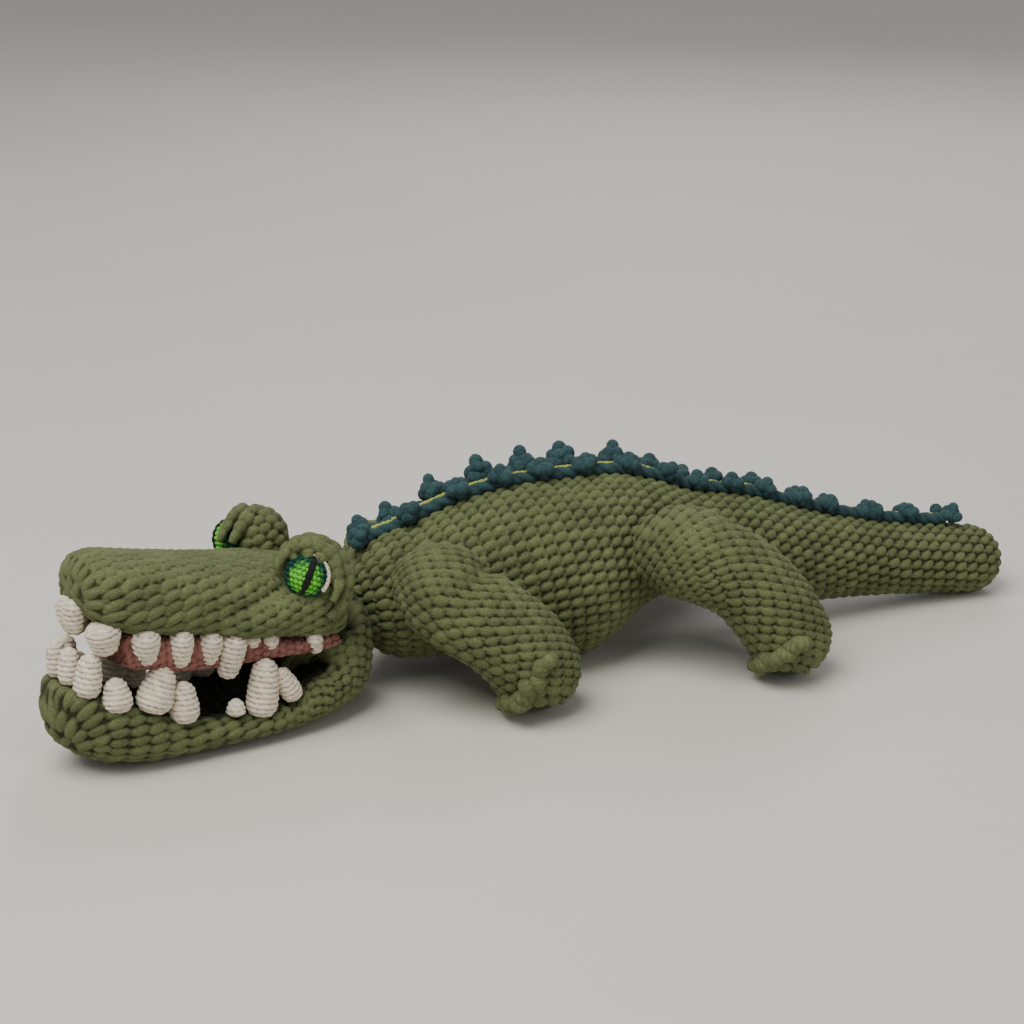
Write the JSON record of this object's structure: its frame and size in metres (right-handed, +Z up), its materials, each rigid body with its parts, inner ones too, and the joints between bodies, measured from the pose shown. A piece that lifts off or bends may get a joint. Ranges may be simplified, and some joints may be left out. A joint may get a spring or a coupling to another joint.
{
  "type": "plush crocodile",
  "caption": "Crocheted plush crocodile lying on its belly, with a turned head, an open toothed mouth, bulging eyes, stuffed legs and a knotted crest along its back.",
  "frame": {"origin": "the point of the floor below the belly, midway between the flanks, where the belly is widest", "axes": "-X towards the nose, +X towards the tail, -Y towards the crocodile's own left side, +Z up"},
  "size_m": [0.6158, 0.2255, 0.1294],
  "materials": {
    "olive_yarn": "thick velvety chenille yarn in rows of single crochet",
    "teal_yarn": "thick chenille yarn worked as a chain with knots",
    "lime_yarn": "thin yarn in long running stitches",
    "rust_yarn": "crocheted yarn lining",
    "cotton_yarn": "crocheted cotton with ribs round each tooth",
    "iris_yarn": "crocheted yarn ball",
    "black_yarn": "embroidered yarn",
    "wadding": "loose polyester filling"
  },
  "bodies": {
    "torso": {"body_skin": "olive_yarn", "body_filling": "wadding", "crest_stitching": "lime_yarn", "crest_left": "teal_yarn", "crest_right": "teal_yarn"},
    "lower_head": {"jaw_skin": "olive_yarn", "jaw_filling": "wadding", "tooth_lower_left_1": "cotton_yarn", "tooth_lower_left_2": "cotton_yarn", "tooth_lower_left_3": "cotton_yarn", "tooth_lower_left_4": "cotton_yarn", "tooth_lower_left_5": "cotton_yarn", "tooth_lower_left_6": "cotton_yarn", "tooth_lower_left_7": "cotton_yarn", "tooth_lower_left_8": "cotton_yarn", "tooth_lower_right_1": "cotton_yarn", "tooth_lower_right_2": "cotton_yarn", "tooth_lower_right_3": "cotton_yarn", "tooth_lower_right_4": "cotton_yarn", "tooth_lower_right_5": "cotton_yarn", "tooth_lower_right_6": "cotton_yarn", "tooth_lower_right_7": "cotton_yarn", "tooth_lower_right_8": "cotton_yarn"},
    "upper_jaw": {"snout_skin": "olive_yarn", "snout_filling": "wadding", "palate": "rust_yarn", "eye_mound_left": "olive_yarn", "eyelid_left": "olive_yarn", "eye_ball_left": "iris_yarn", "eye_slit_left": "black_yarn", "tooth_upper_left_1": "cotton_yarn", "tooth_upper_left_2": "cotton_yarn", "tooth_upper_left_3": "cotton_yarn", "tooth_upper_left_4": "cotton_yarn", "tooth_upper_left_5": "cotton_yarn", "tooth_upper_left_6": "cotton_yarn", "tooth_upper_left_7": "cotton_yarn", "tooth_upper_left_8": "cotton_yarn", "tooth_upper_left_9": "cotton_yarn", "eye_mound_right": "olive_yarn", "eyelid_right": "olive_yarn", "eye_ball_right": "iris_yarn", "eye_slit_right": "black_yarn", "tooth_upper_right_1": "cotton_yarn", "tooth_upper_right_2": "cotton_yarn", "tooth_upper_right_3": "cotton_yarn", "tooth_upper_right_4": "cotton_yarn", "tooth_upper_right_5": "cotton_yarn", "tooth_upper_right_6": "cotton_yarn", "tooth_upper_right_7": "cotton_yarn", "tooth_upper_right_8": "cotton_yarn", "tooth_upper_right_9": "cotton_yarn"},
    "leg_front_left": {"leg_front_left_skin": "olive_yarn", "leg_front_left_filling": "wadding"},
    "leg_front_right": {"leg_front_right_skin": "olive_yarn", "leg_front_right_filling": "wadding"},
    "leg_hind_left": {"leg_hind_left_skin": "olive_yarn", "leg_hind_left_filling": "wadding"},
    "leg_hind_right": {"leg_hind_right_skin": "olive_yarn", "leg_hind_right_filling": "wadding"}
  },
  "joints": [
    {"name": "head_turn", "type": "hinge", "parent": "torso", "child": "lower_head", "pos_m": [-0.0999, 0, 0.04998], "axis": [0, 0, 1], "range_deg": [-18, 4], "stiffness_Nm_per_rad": 0.6},
    {"name": "mouth_open", "type": "hinge", "parent": "lower_head", "child": "upper_jaw", "pos_m": [-0.15635, -0.01726, 0.05082], "axis": [-0.2924, 0.9563, 0], "range_deg": [0, 12], "stiffness_Nm_per_rad": 0.4},
    {"name": "leg_front_left_swing", "type": "hinge", "parent": "torso", "child": "leg_front_left", "pos_m": [-0.0983, -0.04485, 0.07188], "axis": [0, 1, 0], "range_deg": [-10, 10], "stiffness_Nm_per_rad": 0.4},
    {"name": "leg_front_right_swing", "type": "hinge", "parent": "torso", "child": "leg_front_right", "pos_m": [-0.0983, 0.04965, 0.05377], "axis": [0, 1, 0], "range_deg": [-10, 10], "stiffness_Nm_per_rad": 0.4},
    {"name": "leg_hind_left_swing", "type": "hinge", "parent": "torso", "child": "leg_hind_left", "pos_m": [0.0467, -0.04407, 0.07287], "axis": [0, 1, 0], "range_deg": [-10, 10], "stiffness_Nm_per_rad": 0.4},
    {"name": "leg_hind_right_swing", "type": "hinge", "parent": "torso", "child": "leg_hind_right", "pos_m": [0.0467, 0.04477, 0.06494], "axis": [0, 1, 0], "range_deg": [-10, 10], "stiffness_Nm_per_rad": 0.4}
  ]
}
